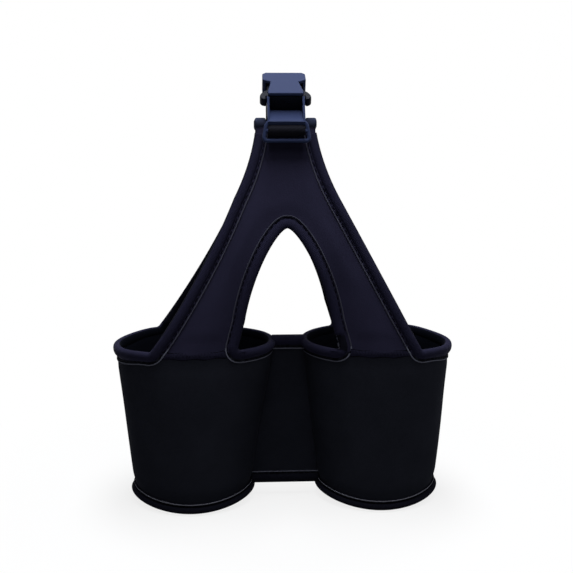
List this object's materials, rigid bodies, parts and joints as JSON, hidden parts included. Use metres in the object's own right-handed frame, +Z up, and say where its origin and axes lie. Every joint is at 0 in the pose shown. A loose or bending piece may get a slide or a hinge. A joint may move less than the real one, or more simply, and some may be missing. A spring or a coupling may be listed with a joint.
{
  "type": "drink carrier",
  "caption": "Soft neoprene drink carrier: paired tapered cup sleeves on a centre web, arched handle panels leaning together, and a side-release buckle on webbing at the top.",
  "frame": {"origin": "middle of the base between the two cups, on the surface that the carrier stands on", "axes": "+Z up, +X to the right seen from the front, the front handle panel faces -Y"},
  "size_m": [0.1948, 0.0859, 0.2412],
  "materials": {
    "sleeve_neoprene": "matt black neoprene with a fine knit face",
    "panel_neoprene": "matt blue-black neoprene with a fine knit face",
    "binding_tape": "soft folded binding tape, matt black",
    "webbing": "black woven polyester webbing",
    "buckle_plastic": "satin moulded acetal, black"
  },
  "bodies": {
    "carrier": {"left_cup_sleeve": "sleeve_neoprene", "right_cup_sleeve": "sleeve_neoprene", "left_cup_base": "sleeve_neoprene", "right_cup_base": "sleeve_neoprene", "left_base_binding": "binding_tape", "right_base_binding": "binding_tape", "center_web": "sleeve_neoprene", "web_top_binding": "binding_tape", "web_bottom_binding": "binding_tape", "front_handle_panel": "panel_neoprene", "left_outer_binding": "binding_tape", "right_outer_binding": "binding_tape", "inner_binding": "binding_tape", "front_webbing_loop": "webbing", "male_buckle": "buckle_plastic"},
    "rear_handle": {"rear_handle_panel": "panel_neoprene", "left_rear_binding": "binding_tape", "right_rear_binding": "binding_tape", "rear_arch_binding": "binding_tape"},
    "rear_webbing": {"rear_webbing_loop": "webbing"},
    "female_buckle": {"female_buckle": "buckle_plastic"},
    "left_prong": {"left_prong": "buckle_plastic"},
    "right_prong": {"right_prong": "buckle_plastic"}
  },
  "joints": [
    {"name": "rear_handle_swing", "type": "hinge", "parent": "carrier", "child": "rear_handle", "pos_m": [0, 0.0444, 0.0913], "axis": [-1, 0, 0], "range_deg": [0, 16], "deforming": ["left_prong", "right_prong"]},
    {"name": "rear_webbing_fold", "type": "hinge", "parent": "rear_handle", "child": "rear_webbing", "pos_m": [0, 0.007, 0.2122], "axis": [-1, 0, 0], "range_deg": [-37, 1]},
    {"name": "female_buckle_turn", "type": "hinge", "parent": "rear_webbing", "child": "female_buckle", "pos_m": [0, 0.01427, 0.23198], "axis": [-1, 0, 0], "range_deg": [-1, 21]},
    {"name": "left_prong_squeeze", "type": "hinge", "parent": "carrier", "child": "left_prong", "pos_m": [-0.0076, -0.00775, 0.2258], "axis": [0, 0.4384, -0.8988], "range_deg": [0, 10], "stiffness_Nm_per_rad": 0.2},
    {"name": "right_prong_squeeze", "type": "hinge", "parent": "carrier", "child": "right_prong", "pos_m": [0.0076, -0.00775, 0.2258], "axis": [0, -0.4384, 0.8988], "range_deg": [0, 10], "stiffness_Nm_per_rad": 0.2}
  ],
  "couplings": [
    {"joint": "rear_webbing_fold", "follows": "rear_handle_swing", "ratio": -2.25},
    {"joint": "female_buckle_turn", "follows": "rear_handle_swing", "ratio": 1.25},
    {"joint": "right_prong_squeeze", "follows": "left_prong_squeeze", "ratio": 1}
  ]
}
